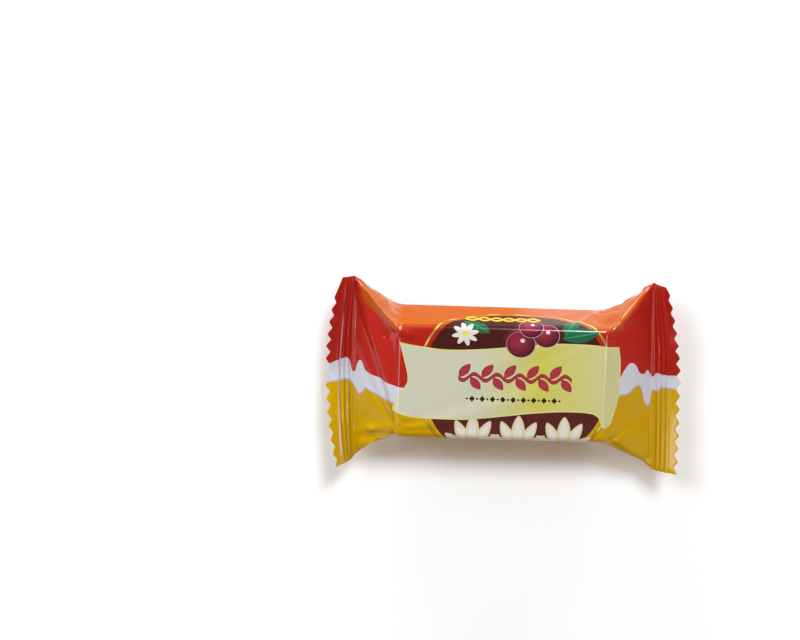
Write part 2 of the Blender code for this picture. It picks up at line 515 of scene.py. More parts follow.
def film_as_cut(flat):
    """The relaxed tube: longer on the slopes than they look from above, and close round the bar."""
    along, across, side = flat.T
    slope = np.maximum(np.abs(along) - BAR_LENGTH / 2, 0)
    length = np.sign(along) * (np.abs(along) + slope * (SLOPE_STRETCH - 1))
    turn = np.abs(across) / (2 * HALF_FILM)
    turn = np.sign(across) * np.where(side < 0, 1 - turn, turn) * math.pi
    radius = TUBE_RADIUS * (1 - WAIST * (1 - ease(slope / SLOPE_RUN)))
    return np.column_stack((length, radius * np.sin(turn), radius * np.cos(turn)))


def resize(piece, times):
    """Enlarges or shrinks the mesh itself."""
    piece.scale = (times, times, times)
    only(piece)
    bpy.ops.object.transform_apply(scale=True)


def let_crease(piece):
    """Simulates the film round the bar, with its fins held still."""
    resize(piece, ENLARGED)
    bar = hard_bar()
    held = piece.vertex_groups.new(name="held")
    fixed = np.nonzero(np.abs(stored(piece.data)[:, 0]) > SEAL - HELD_FROM)[0]
    held.add([int(n) for n in fixed], 1.0, "REPLACE")
    only(piece)
    piece.shape_key_add(name="folded")
    relaxed = piece.shape_key_add(name="relaxed")
    tube = film_as_cut(stored(piece.data)) * ENLARGED
    relaxed.data.foreach_set("co", np.ascontiguousarray(tube).ravel())
    cloth = piece.modifiers.new("cloth", "CLOTH")
    settings = cloth.settings
    settings.quality = 8
    settings.mass = 0.2
    settings.tension_stiffness = settings.compression_stiffness = 60
    settings.shear_stiffness = 30
    settings.bending_model = "ANGULAR"
    settings.bending_stiffness = 1.0
    settings.tension_damping = settings.compression_damping = settings.shear_damping = 10
    settings.bending_damping = 0.5
    settings.air_damping = 2
    settings.rest_shape_key = relaxed
    settings.use_pressure = True
    settings.uniform_pressure_force = 0.03
    settings.vertex_group_mass = "held"
    settings.effector_weights.gravity = 0.0
    cloth.collision_settings.distance_min = CLOTH_GAP * ENLARGED
    cloth.collision_settings.use_self_collision = False
    cloth.point_cache.frame_start = 1
    cloth.point_cache.frame_end = FRAMES
    for number in range(1, FRAMES + 1):
        bpy.context.scene.frame_set(number)
    bpy.ops.object.convert(target="MESH")
    bpy.context.scene.frame_set(1)
    bpy.data.objects.remove(bar)
    resize(piece, 1 / ENLARGED)


def hold_face_flat(piece, folded):
    """The sweet carries the middle of the face, so only a third of any wrinkle stays there."""
    along, across, side = stored(piece.data).T
    off_ends = 1 - ease((np.abs(along) - FLAT_LENGTH) / FLAT_LENGTH_FADE)
    off_edges = 1 - ease((np.abs(across) - FLAT_WIDTH) / FLAT_WIDTH_FADE)
    hold = HELD_FLAT * off_ends * off_edges * (side > 0)
    creased = places(piece.data)
    put(piece.data, creased + (folded - creased) * hold[:, None])


folded = fold_over_bar(stored(film.data))
let_crease(film)
film.vertex_groups.clear()
print("film moved at most, in mm:", MILLIMETRES * np.abs(places(film.data) - folded).max())
hold_face_flat(film, folded)

# %% [markdown]
# ## Finer film
#
# One level of subdivision turns the creased grid into smooth film with about four times the faces, enough
# for the ridges and teeth of the fins.

# %% Subdivide once
only(film)
finer = film.modifiers.new("finer", "SUBSURF")
finer.levels = finer.render_levels = 1
bpy.ops.object.modifier_apply(modifier="finer")
print("film:", len(film.data.polygons), "faces")

# %% [markdown]
# ## A few sharp folds
#
# Where the bar's corners push into the film, real film breaks into short sharp folds that a simulation of
# this size can't form. They are pressed in one by one: each is a line on the flat film with a V-shaped dent
# about it, or a ridge where its depth is below zero. The crests of the two upper ears and a low ridge at
# the face's upper left corner get steeper towards their line and are smoothed after it, so that they catch
# the light in a band. All numbers are millimetres: along and around at both ends of the line, then depth
# and width.

# %% Press in the folds at the shoulders
SHARP_FOLDS = (
    (-30.2, 20.5, -26.6, 20.2, -1.00, 2.8), (-23.4, 15.6, -21.4, 15.0, 0.40, 0.9),
    (-23.8, 12.4, -25.4, 8.6, 0.16, 0.8), (-27.2, 17.0, -23.4, 16.4, 0.24, 0.8),
    (30.2, 20.6, 26.0, 20.6, -0.50, 2.4), (23.3, 15.3, 21.0, 14.2, 0.26, 0.6),
    (23.3, 15.3, 22.0, 12.8, 0.24, 0.6), (23.3, 15.3, 25.4, 12.6, 0.22, 0.6),
    (21.0, 15.6, 23.6, 18.6, 0.50, 0.9), (23.3, 15.3, 27.0, 17.2, 0.24, 0.6),
    (24.4, 4.0, 25.8, -8.0, 0.12, 1.4),
    (-31.4, -19.4, -28.4, -12.9, -0.24, 1.1), (-28.4, -12.9, -23.2, -12.7, -0.22, 1.0),
    (-23.2, -12.9, -26.4, -16.6, 0.30, 0.8), (31.2, -19.2, 25.0, -13.2, -0.26, 1.1),
    (22.6, -13.2, 26.6, -17.0, 0.32, 0.8), (22.8, -12.8, 26.4, -10.6, 0.16, 0.8),
)
SOFT_CRESTS = (
    (-30.2, 19.3, -24.4, 14.9, 0.60, 2.3), (30.2, 19.3, 24.6, 15.1, 0.50, 1.8),
    (-24.0, 11.9, -19.4, 10.7, -0.50, 1.1),
)


def around_tube(piece):
    """Each point's place along and once round the tube from the middle of the face, in millimetres."""
    along, across, side = stored(piece.data).T * MILLIMETRES
    film_width = 2 * HALF_FILM * MILLIMETRES
    return np.column_stack((along, np.where(side < 0, np.sign(across) * film_width - across, across)))


def press_folds(piece):
    """Pushes the film in along the folds, or out where their depth is below zero."""
    where = around_tube(piece)
    depth = np.zeros(len(where))
    for folds, steepness in ((SHARP_FOLDS, 1), (SOFT_CRESTS, 2)):
        for a, b, c, d, deep, wide in folds:
            away = distance_to_line(where, (a, b), (c, d))
            depth += deep * np.clip(1 - away / wide, 0, 1) ** steepness
    put(piece.data, places(piece.data) - normals_of(piece.data) * depth[:, None] / MILLIMETRES)


def soften(piece):
    """Smooths the film about the soft crests."""
    where = around_tube(piece)
    near = np.zeros(len(where), bool)
    for a, b, c, d, _, wide in SOFT_CRESTS:
        near |= distance_to_line(where, (a, b), (c, d)) < wide
    only(piece)
    clear_selection(piece.data)
    bpy.context.tool_settings.mesh_select_mode = (True, False, False)
    piece.data.vertices.foreach_set("select", near)
    mode("EDIT")
    bpy.ops.mesh.vertices_smooth(factor=0.5, repeat=6)
    mode("OBJECT")
    print("softened:", int(near.sum()), "points")


press_folds(film)
soften(film)

# %% [markdown]
# ## Crimped fins with a zigzag cut
#
# Heated jaws press four ridges into each end and a toothed knife cuts it. The fins are laid out again from
# their flat places: ridges as a wave along the pack, teeth as a zigzag across it, and then the whole fin is
# bent up, more towards its corners. The left fin's upper corner is cut back at a slant, without teeth. Where
# the two ends differ, -1 stands for the left one and 1 for the right.

# %% The shape of the fins
CRIMP_PITCH = 0.00104
CRIMP_START = -CRIMP_PITCH / 4
CRIMP_COUNT = 4
CRIMP_DEPTH = 0.00042
TOOTH_DEPTH = 0.0009
TEETH_PER_FILM = 14.5
FIN_BEND_RUN = 0.0010
FIN_LIFT = {-1: 6.0, 1: 17.0}
TOP_CURL = {-1: 54.0, 1: 48.0}
BOTTOM_CURL = {-1: 50.0, 1: 13.0}
CURL_SOFTNESS = 0.15
FIN_FLARE = {-1: 0.0006, 1: 0.0001}
SEAL_SHIFT = {-1: 0.0, 1: -0.0003}
SKEW = {-1: 0.0001, 1: -0.0010}
HALF_SEAL = {-1: 0.0203, 1: 0.0207}
TUCK_TOP = 0.0012
TUCK_SIDE = 0.0043
TOOTH_ROUNDING = 0.45
CRIMP_SQUARENESS = 0.8
TEETH_FROM = 0.0043
SIDE_PINCH = 0.0004
END_PINCH = 0.0003
FIN_SLACK = 1e-6


def cut_edge(end, across):
    """How far in from the tooth tips the fin is cut off."""
    turns = (across + HALF_FILM) * TEETH_PER_FILM / (2 * HALF_FILM)
    notch = 1 - np.abs(1 - 2 * (turns % 1.0))
    zigzag = TOOTH_DEPTH * ((1 - TOOTH_ROUNDING) * notch + TOOTH_ROUNDING * ease(notch))
    from_corner = HALF_FILM - across
    tucked = TUCK_TOP * (1 - from_corner / TUCK_SIDE)
    return np.where((end < 0) & (from_corner < TUCK_SIDE), tucked, zigzag)


def crimps(beyond):
    """Height of the pressed ridges, a little squarer than a plain wave."""
    turns = (beyond - CRIMP_START) / CRIMP_PITCH
    wave = (1 - np.cos(2 * math.pi * turns)) / 2
    return CRIMP_DEPTH * wave ** CRIMP_SQUARENESS * ((turns > 0) & (turns < CRIMP_COUNT))


def fin_angle(end, across):
    """How steeply the fin stands up, more towards its corners."""
    place = across / HALF_FILM
    curl = np.where(place > 0, TOP_CURL[end], BOTTOM_CURL[end])
    share = (1 + CURL_SOFTNESS) * place * place / (np.abs(place) + CURL_SOFTNESS)
    return np.radians(FIN_LIFT[end] + curl * share)


def lay_fin(flat, end):
    """Places of one crimped and curled fin, about the middle of the pack."""
    along, across, side = flat.T
    beyond = np.abs(along) - SEAL
    reach = FIN_WIDTH - cut_edge(end, across)
    to_edge = np.minimum((HALF_FILM - np.abs(across)) / SIDE_PINCH, (FIN_WIDTH - beyond) / END_PINCH)
    stretch = ease((beyond - TEETH_FROM) / (FIN_WIDTH - TEETH_FROM))
    beyond = beyond + (reach - FIN_WIDTH) * stretch
    height = side * FILM_PAIR / 2 * np.clip(to_edge, 0, 1) + crimps(beyond)
    angle = fin_angle(end, across) * ease(beyond / FIN_BEND_RUN)
    out = beyond * np.cos(angle) - height * np.sin(angle)
    up = beyond * np.sin(angle) + height * np.cos(angle)
    spread = across * (1 + FIN_FLARE[end] * beyond / FIN_WIDTH / HALF_FILM)
    return np.column_stack((end * (SEAL + out), spread, up))


def settle_ends(where):
    """Slants the two seals a little and gives each the width that its jaws left it."""
    along, across, up = where.T
    end = np.where(along < 0, -1, 1)
    share = ease((np.abs(along) - BAR_LENGTH / 2) / SLOPE_RUN)
    skew, shift, half = (np.where(end < 0, of[-1], of[1]) for of in (SKEW, SEAL_SHIFT, HALF_SEAL))
    slanted = along + share * (shift + end * skew * across / HALF_FILM)
    return np.column_stack((slanted, across * (1 + (half / HALF_FILM - 1) * share), up))


flat = stored(film.data)
where = places(film.data)
for end in (-1, 1):
    on_fin = flat[:, 0] * end > SEAL - FIN_SLACK
    where[on_fin] = lay_fin(flat[on_fin], end)
put(film.data, settle_ends(where) + np.array(MIDDLE))
print("teeth on each fin:", int(TEETH_PER_FILM))

# %% [markdown]
# ## Closing the cut ends
#
# At the zigzag the two layers of film have been brought together, so the points there lie in pairs. Merging
# them closes the pack, as the hot jaws do.

# %% Zip up the cut ends
WELD_GAP = 0.000004
before = len(film.data.vertices)
only(film)
mode("EDIT")
bpy.ops.mesh.select_all(action="SELECT")
bpy.ops.mesh.remove_doubles(threshold=WELD_GAP)
mode("OBJECT")
print("points merged:", before - len(film.data.vertices))

# %% [markdown]
# ## The flat film as a UV map
#
# A UV map says where each face lies on the flat print, so the print wraps round the edges as on the real
# pack. Its seam is the middle of the back, and it is set face by face, because the points there belong to
# both edges of the film at once. After that the film is shaded smooth, except at its cut edges.

# %% Map the film
CUT_EDGE = math.radians(50)


def map_film(piece):
    """UV map 'film': 0 to 1 along the pack and once round the tube, with the face's middle at a half."""
    mesh = piece.data
    flat = stored(mesh)
    layer = mesh.uv_layers.new(name="film")
    for face in mesh.polygons:
        corners = flat[list(face.vertices)]
        middle_of_face = corners.mean(axis=0)
        upper = 1 if middle_of_face[1] > 0 else -1
        for loop, (along, across, _) in zip(face.loop_indices, corners):
            if middle_of_face[2] < 0:
                across = upper * 2 * HALF_FILM - across
            layer.data[loop].uv = (along / (2 * PACK_END) + 0.5, across / (4 * HALF_FILM) + 0.5)


map_film(film)
only(film)
bpy.ops.object.shade_smooth_by_angle(angle=CUT_EDGE)
print("mapped:", [layer.name for layer in film.data.uv_layers])

# %% [markdown]
# ## The flap of the back seam
#
# The two long edges of the film are welded back to back and folded flat, which leaves a narrow ribbed strip
# all along the back. The pack lies on it. It is made from the film's own faces, copied off, lifted a little
# and given thickness, so it follows every crease under it.

# %% Copy the strip off the back
SEAM_LOW = -0.0030
SEAM_HIGH = 0.0064
ON_BACK = -0.4
FLAP_RISE = 0.00010
RIB_HEIGHT = 0.00006
RIB_PITCH = 0.00141
FLAP_THICKNESS = 0.00014


def copy_strip(piece, name):
    """A copy of the faces of the back that lie under the flap."""
    only(piece)
    mesh = piece.data
    flat = stored(mesh)
    clear_selection(mesh)
    bpy.context.tool_settings.mesh_select_mode = (False, False, True)
    for face in mesh.polygons:
        _, across, side = flat[list(face.vertices)].mean(axis=0)
        face.select = bool(side < ON_BACK and SEAM_LOW < across < SEAM_HIGH)
    mode("EDIT")
    bpy.ops.mesh.duplicate()
    bpy.ops.mesh.separate(type="SELECTED")
    mode("OBJECT")
    strip = next(o for o in bpy.context.selected_objects if o is not piece)
    strip.name = name
    return strip


flap = copy_strip(film, "back_seam_flap")
only(flap)
rise = FLAP_RISE + RIB_HEIGHT * np.cos(2 * math.pi * stored(flap.data)[:, 1] / RIB_PITCH)
put(flap.data, places(flap.data) + normals_of(flap.data) * rise[:, None])
wall = flap.modifiers.new("wall", "SOLIDIFY")
wall.thickness = FLAP_THICKNESS
wall.offset = 0
bpy.ops.object.modifier_apply(modifier="wall")
print("flap:", len(flap.data.polygons), "faces")

# %% [markdown]
# ## Down on the table
#
# The pack lies on its flap. Both pieces go down by the same length, so that the lowest point touches the
# table.

# %% Set the pack down on the table
lowest = min(places(piece.data)[:, 2].min() for piece in (film, flap))
for piece in (film, flap):
    put(piece.data, places(piece.data) - np.array((0, 0, lowest)))
print("set down by", round(MILLIMETRES * lowest, 2), "mm")

# %% [markdown]
# ## Writing a material as sums
#
# The print is drawn in the material, from fields of colour and simple shapes. That takes a few hundred
# small steps, which are easier to read as sums than as boxes and wires. The class below wraps one output of
# a node, and each sum on it adds the Math node that does it.

# %% Numbers that change over the surface
class Value:
    """One output of a node, which sums can be written with."""

    def __init__(self, shader, socket):
        self.shader = shader
        self.socket = socket

    def __add__(self, other):
        return self.shader.math("ADD", self, other)

    def __sub__(self, other):
        return self.shader.math("SUBTRACT", self, other)

    def __mul__(self, other):
        return self.shader.math("MULTIPLY", self, other)

    def __truediv__(self, other):
        return self.shader.math("DIVIDE", self, other)

    def __rsub__(self, other):
        return self.shader.math("SUBTRACT", other, self)

    def __rtruediv__(self, other):
        return self.shader.math("DIVIDE", other, self)

    def __abs__(self):
        return self.shader.math("ABSOLUTE", self)

    __radd__ = __add__
    __rmul__ = __mul__


class Shader:
    """A material whose nodes are added one by one."""

    def __init__(self, name):
        self.material = bpy.data.materials.new(name)
        self.material.use_nodes = True
        self.tree = self.material.node_tree
        self.surface = self.tree.nodes["Principled BSDF"]

    def node(self, kind, settings=None, sockets=None, result=0):
        """Adds a node, sets it, then feeds its sockets with numbers or links."""
        made = self.tree.nodes.new("ShaderNode" + kind)
        for name, setting in (settings or {}).items():
            if name == "points":
                self.set_curve(made, setting)
            elif name == "stops":
                self.set_ramp(made, setting)
            else:
                setattr(made, name, setting)
        for socket in made.inputs:
            given = (sockets or {}).get(socket.identifier)
            if isinstance(given, Value):
                self.tree.links.new(given.socket, socket)
            elif given is not None:
                socket.default_value = given
        return Value(self, made.outputs[result])

    def set_curve(self, made, points):
        """Gives a curve its points, which join up without overshooting."""
        curve = made.mapping.curves[0]
        while len(curve.points) < len(points):
            curve.points.new(0.5, 0.5)
        for point, place in zip(curve.points, points):
            point.location = place
            point.handle_type = "AUTO_CLAMPED"
        made.mapping.update()

    def set_ramp(self, made, stops):
        """Gives a colour ramp its stops."""
        while len(made.color_ramp.elements) < len(stops):
            made.color_ramp.elements.new(0.5)
        for element, (place, colour) in zip(made.color_ramp.elements, stops):
            element.position = place
            element.color = (*colour, 1)

    def math(self, operation, a, b=None, c=None, clamp=False):
        """Adds one Math node."""
        sockets = {"Value": a, "Value_001": b, "Value_002": c}
        return self.node("Math", {"operation": operation, "use_clamp": clamp}, sockets)

    def least(self, a, b):
        return self.math("MINIMUM", a, b)

    def most(self, a, b):
        return self.math("MAXIMUM", a, b)

    def root(self, a):
        return self.math("SQRT", a)

    def share(self, value):
        """Keeps a number between 0 and 1."""
        return self.math("ADD", value, 0.0, clamp=True)

    def inside(self, depth, blur):
        """1 where a depth in millimetres is above zero, 0 where it is below, and smooth between."""
        return self.math("ADD", depth * (1 / blur), 0.5, clamp=True)

    def paint(self, under, over, mask):
        """Lays one colour over another where the mask says."""
        sockets = {"Factor_Float": mask, "A_Color": self.colour(under), "B_Color": self.colour(over)}
        return self.node("Mix", {"data_type": "RGBA"}, sockets, "Result")

    def colour(self, given):
        """A colour as a socket takes it, or the output that makes it."""
        return given if isinstance(given, Value) else (*given, 1)

    def feed(self, name, value):
        """Links an output to a socket of the surface."""
        self.tree.links.new(value.socket, self.surface.inputs[name])


# %% [markdown]
# ## Where things are on the print
#
# The print is laid out in millimetres on the flat film: along from the middle of the pack to the right, and
# across from the middle of the face up. A line that isn't straight, such as the edge of the banner, is a
# curve from one to the other. The print's colour is built up from the bottom, one shape over the other.

# %% Millimetres on the film
ink = Shader("printed_film")
map_place = ink.node("UVMap", {"uv_map": "film"})
parted = ink.node("SeparateXYZ", sockets={"Vector": map_place})
PRINT_SCALE = 1.02
PRINT_LENGTH = 2 * MILLIMETRES * PACK_END * PRINT_SCALE
PRINT_ROUND = 4 * MILLIMETRES * HALF_FILM * PRINT_SCALE
SPAN = 40.0
CRISP = 0.05
DRAWN = 0.06

along = (parted - 0.5) * PRINT_LENGTH
across = (Value(ink, parted.socket.node.outputs[1]) - 0.5) * PRINT_ROUND


def line(value, points):
    """A curve through points of millimetres against millimetres, from -40 to 40 both ways."""
    scaled = [((a + SPAN) / (2 * SPAN), (b + SPAN) / (2 * SPAN)) for a, b in points]
    found = ink.node("FloatCurve", {"points": scaled}, {"Value": value * (0.5 / SPAN) + 0.5})
    return (found - 0.5) * (2 * SPAN)


class Print:
    """The colour of the film so far."""

    def __init__(self, colour):
        self.colour = colour

    def lay(self, mask, colour):
        self.colour = ink.paint(self.colour, colour, mask)

    def draw(self, depth, colour, blur=DRAWN):
        """Lays a shape of one colour over the rest, with its edge blurred over some millimetres."""
        self.lay(ink.inside(depth, blur), colour)


# %% [markdown]
# ## Fields of colour
#
# Red lies above and golden yellow below, all round the film, with a white wave of poured milk between them.
# The wave sinks towards the banner and has a few drips. The two edges of the wave are two curves, and its
# lower edge has a thin rim of shade. The upper side wall and the upper ears are painted orange, as painted
# light: the red as it looks where strong light falls on them, which fades into the red.

# %% Red, white and yellow
RED = (0.430, 0.019, 0.012)
RED_DEEP = (0.350, 0.010, 0.007)
# Painted light: the red of the upper side wall and ears as it looks in strong light.
PAINTED_LIGHT_ORANGE = (0.41, 0.080, 0.004)
WHITE = (0.515, 0.52, 0.575)
WHITE_SHADE = (0.40, 0.37, 0.47)
YELLOW = (0.505, 0.300, 0.0008)
YELLOW_WARM = (0.47, 0.255, 0.001)

WAVE_TOP = [
    (-40, 0.9), (-37.6, 1.2), (-35.8, 2.0), (-34.4, 2.5), (-33.6, 1.9), (-33.0, -0.4), (-32.5, -0.8),
    (-32.0, 0.6), (-31.3, 2.2), (-30.8, 1.8), (-30.4, 0.3), (-29.4, -0.3), (-26.9, -0.7), (-24.4, -1.2),
    (-21.0, -1.5),
    (-10, 0.5), (10, 1.2), (24.8, 1.2), (26.0, 3.0), (27.4, 4.3), (28.5, 3.7), (29.6, 1.6), (30.6, 1.1),
    (31.4, 1.9), (32.0, 0.9), (32.7, 0.2), (33.6, 1.1), (35.2, 0.8), (40, 1.0)]
WAVE_BOTTOM = [
    (-40, -3.1), (-36.8, -3.0), (-34.6, -2.5), (-33.1, -3.1), (-32.2, -4.6), (-31.4, -5.7), (-30.7, -5.1),
    (-30.2, -4.1), (-29.2, -4.4), (-27.8, -5.0), (-25.8, -5.4), (-23.0, -5.5), (-10, -4.0), (10, -2.5),
    (24.5, -2.7), (26.4, -2.9), (27.6, -2.4), (28.5, -1.5), (29.3, -1.3), (29.9, -2.0), (30.6, -4.5),
    (31.3, -6.3), (31.9, -6.5), (32.2, -4.8), (32.4, -2.6), (33.2, -3.1), (34.0, -2.9), (34.8, -2.1),
    (40, -2.3)]
MILK_RIM = 0.35
# Where the painted light on the upper side wall and ears begins.
PAINTED_LIGHT_FROM = [
    (-40, 26), (-33, 25), (-31.8, 20.5), (-31.1, 17.6), (-30.0, 15.6), (-26.8, 13.5), (-23.8, 12.4),
    (-20, 13.0), (0, 13.4), (20, 13.0), (24.0, 13.3), (27.0, 15.6), (30.0, 18.4), (31.6, 20.8), (33, 25),
    (40, 26)]
PAINTED_LIGHT_FADE = 1 / 0.6

tone = ink.node("TexNoise", {"noise_dimensions": "3D"}, {"Vector": map_place, "Scale": 5.0, "Detail": 2.0})
red = ink.paint(RED, RED_DEEP, tone)
# Painted light: above this line the red turns orange, as where strong light falls on the wall.
above_crease = across - line(along, PAINTED_LIGHT_FROM)
red = ink.paint(red, PAINTED_LIGHT_ORANGE, ink.inside(above_crease, PAINTED_LIGHT_FADE))
yellow = ink.paint(YELLOW, YELLOW_WARM, tone)
above_wave = across - line(along, WAVE_TOP)
above_foot = across - line(along, WAVE_BOTTOM)
art = Print(yellow)
art.draw(above_foot, WHITE_SHADE, blur=CRISP)
art.draw(above_foot - MILK_RIM, WHITE, blur=0.3)
art.draw(above_wave, red, blur=CRISP)

# %% [markdown]
# ## The round field
#
# Behind the banner lies a big round field in dark chocolate brown, wide enough to run over the top and
# bottom edges of the face. A thin gold ring goes round it, with painted highlights: its gold turns pale in
# bands, a painted sheen of metal ink. Its brown is warmer towards the bottom.

# %% Dark field and gold ring
FIELD_AT = (2.4, 0.4)
FIELD_RADIUS = 20.0
RING_RADIUS = 21.1
RING_HALF = 0.17
RING_RIM = 0.30
BROWN = (0.052, 0.009, 0.007)
BROWN_WARM = (0.115, 0.022, 0.026)
GOLD = (0.40, 0.21, 0.03)
GOLD_DARK = (0.16, 0.07, 0.012)
GOLD_PALE = (0.66, 0.55, 0.13)


def distance_from(at):
    """How far the place on the print is from a point."""
    a, b = along - at[0], across - at[1]
    return ink.root(a * a + b * b)


from_field = distance_from(FIELD_AT)
warmth = ink.share((9.0 - across) * 0.045) * tone
field = ink.paint(BROWN, BROWN_WARM, warmth)
# Painted highlight: the gold turns pale in slanted bands, a painted sheen of metal ink.
glint = ink.math("SINE", along * 0.9 + across * 1.1)
gold = ink.paint(GOLD, GOLD_PALE, ink.share(glint * 0.8 + 0.35))
off_ring = abs(from_field - RING_RADIUS)
art.draw(RING_RIM - off_ring, GOLD_DARK, blur=0.08)
art.draw(RING_HALF - off_ring, gold, blur=0.12)
art.draw(FIELD_RADIUS - from_field, field, blur=CRISP)

# %% [markdown]
# ## Small motifs
#
# A sweet's print has small pictures on its field. These are plain ones that any printer could use: round
# berries with a highlight, pointed leaves, a daisy and a row of palmettes. Each is one formula for the
# distance to its edge, drawn again at another place.

# %% Discs, leaves and petals
NO_SWELL = 0.0001
PAST_TIP = 0.5


def disc(at, radius):
    """Depth inside a round spot."""
    return radius - distance_from(at)


def blade_at(a, b, turn, length, width, round_off=1.0):
    """Depth inside a pointed leaf or a rounder petal that grows from where a and b are zero."""
    c, d = math.cos(math.radians(turn)), math.sin(math.radians(turn))
    share = (a * c + b * d) / length
    swell = ink.most(share * (1.0 - share) * 4.0, 0.0)
    if round_off != 1.0:
        swell = ink.math("POWER", swell, round_off)
    return swell * width - abs(b * c - a * d) - ink.math("LESS_THAN", swell, NO_SWELL) * PAST_TIP


def blade(at, turn, length, width, round_off=1.0):
    """Depth inside a leaf or petal that grows from a point of the print."""
    return blade_at(along - at[0], across - at[1], turn, length, width, round_off)


LEAF = (0.012, 0.105, 0.048)
LEAF_PALE = (0.045, 0.22, 0.09)
BERRY = (0.255, 0.022, 0.042)
BERRY_DEEP = (0.070, 0.008, 0.016)
CREAM = (0.58, 0.49, 0.27)
CREAM_PALE = (0.60, 0.58, 0.52)
LILAC = (0.42, 0.30, 0.40)


def leaf(at, turn, length, width):
    """A green leaf with a pale midrib."""
    art.draw(blade(at, turn, length, width), LEAF)
    art.draw(blade(at, turn, length, width * 0.10), LEAF_PALE)


def berry(at, radius):
    """A dark berry with a lilac rim, a lighter side and a highlight."""
    art.draw(disc(at, radius + 0.12), LILAC)
    art.draw(disc(at, radius), BERRY_DEEP)
    lighter = disc((at[0] - radius * 0.18, at[1] + radius * 0.22), radius * 0.72)
    art.draw(lighter, BERRY, blur=radius * 0.9)
    art.draw(disc((at[0] + radius * 0.12, at[1] + radius * 0.30), radius * 0.16), CREAM_PALE)


def daisy(at, radius, petals):
    """Rounded petals about a golden middle."""
    for number in range(petals):
        turn = 360 / petals * number + 12
        art.draw(blade(at, turn, radius, radius * 0.20, 0.6), CREAM_PALE)
    art.draw(disc(at, radius * 0.24), GOLD_PALE)


leaf((12.0, 11.0), 12, 8.0, 1.7)
leaf((12.5, 11.6), 62, 6.0, 1.5)
leaf((-3.4, 12.0), 150, 6.5, 1.5)
daisy((-8.6, 11.6), 2.9, 8)

# %% Three palmettes at the foot of the field
PALMETTE_LEAVES = ((38, 7.4, 1.1), (142, 7.4, 1.1), (64, 8.6, 1.3), (116, 8.6, 1.3), (90, 9.2, 1.5))
PALMETTE_FOOT = -16.6
ROUND_TIP = 0.7


def palmette(middle):
    """A fan of five cream leaves with a pale middle each, and a yellow foot."""
    foot = (middle, PALMETTE_FOOT)
    for turn, length, width in PALMETTE_LEAVES:
        art.draw(blade(foot, turn, length, width, ROUND_TIP), CREAM)
        art.draw(blade(foot, turn, length * 0.96, width * 0.6, ROUND_TIP), CREAM_PALE, blur=0.5)
    art.draw(disc((middle, PALMETTE_FOOT + 1.2), 1.9), YELLOW, blur=2.0)


for middle in (-6.4, 3.4, 13.2):
    palmette(middle)
print("nodes so far:", len(ink.tree.nodes))

# %% [markdown]
# ## The banner
#
# Across the face runs a cream ribbon with a notched left end and a bowed right end. It covers the wave and
# most of the round field. It is cooler and greyer on the left and yellower right of its middle, with a pale
# line along its edge. Its four edges are curves, and the least of the four depths is the depth inside all
# of them. Three berries lie over its upper edge.

# %% Ribbon and berries
BANNER_TOP = [
    (-40, 12.5), (-22.5, 9.2), (-17.9, 8.3), (-12.1, 7.7), (-4.5, 8.1), (3.2, 9.0), (11.6, 9.85),
    (18.5, 9.75), (24.5, 8.75), (40, 5.5)]
BANNER_BOTTOM = [
    (-40, -3.0), (-24.0, -7.1), (-20.2, -8.3), (-16.4, -8.75), (-9.5, -8.8), (-4.1, -8.3), (1.3, -7.55),
    (6.7, -6.8), (14.6, -6.25), (19.0, -6.5), (20.6, -7.6), (21.4, -9.7), (22.6, -10.1), (40, -10.1)]
BANNER_LEFT = [
    (-40, -26.5), (-7.1, -24.0), (-5.4, -23.4), (-1.3, -21.2), (0.3, -20.6), (5.3, -21.5), (9.2, -22.5),
    (40, -30)]
BANNER_RIGHT = [
    (-40, 21.0), (-10.4, 21.2), (-9.8, 22.9), (-7.3, 23.95), (-4.3, 24.75), (-2.0, 25.1), (2.1, 25.2),
    (5.6, 25.0), (8.8, 24.5), (40, 22)]
CREAM_COOL = (0.51, 0.503, 0.39)
CREAM_WARM = (0.505, 0.475, 0.075)
CREAM_LINE = (0.58, 0.55, 0.24)
CREAM_LINE_WIDTH = 0.35
WARM_STOPS = [(0.0, (0, 0, 0)), (0.35, (0.05,) * 3), (0.62, (1, 1, 1)), (1.0, (0.35,) * 3)]

under_top = line(along, BANNER_TOP) - across
over_bottom = across - line(along, BANNER_BOTTOM)
right_of_left = along - line(across, BANNER_LEFT)
left_of_right = line(across, BANNER_RIGHT) - along
banner = ink.least(ink.least(under_top, over_bottom), ink.least(right_of_left, left_of_right))
warm = ink.node("ValToRGB", {"stops": WARM_STOPS}, {"Fac": along * (1 / 50) + 0.47})
cream = ink.paint(CREAM_COOL, CREAM_WARM, warm)
cream = ink.paint(CREAM_LINE, cream, ink.inside(banner - CREAM_LINE_WIDTH, blur=0.4))
art.draw(banner, cream, blur=CRISP)
berry((3.2, 9.4), 3.0)
berry((8.6, 11.6), 2.7)
berry((5.4, 13.6), 2.5)

# %% [markdown]
# ## A vine and a row of beads
#
# Along the middle of the banner runs a vine: a wavy stem with a leaf at each side of every wave. One leaf
# is drawn, and a number that starts again at every wave repeats it. Below lies a row of beads, lozenges
# with small dots between them.

# %% Vine and beads
VINE = (0.34, 0.028, 0.050)
VINE_DEEP = (0.13, 0.012, 0.022)
VINE_AT = (2.0, 1.4)
VINE_HALF = 12.0
VINE_CUT_SHIFT = 0.25
VINE_PITCH = 4.85
VINE_SWING = 0.75
STEM_HALF = 0.26
LEAF_WIDTH = 0.85
BEAD_PITCH = 2.2
BEAD_LINE = -3.7
BEADS_HALF = 10.2
LOZENGE_HALF = 0.62
DOT_RADIUS = 0.24
INK = (0.020, 0.008, 0.008)


def vine_leaves(before, turn, length):
    """Depth inside a row of leaves that repeats along the vine."""
    place = ink.math("WRAP", along - (VINE_AT[0] - before), VINE_PITCH, 0.0)
    return blade_at(place, across - VINE_AT[1], turn, length, LEAF_WIDTH)


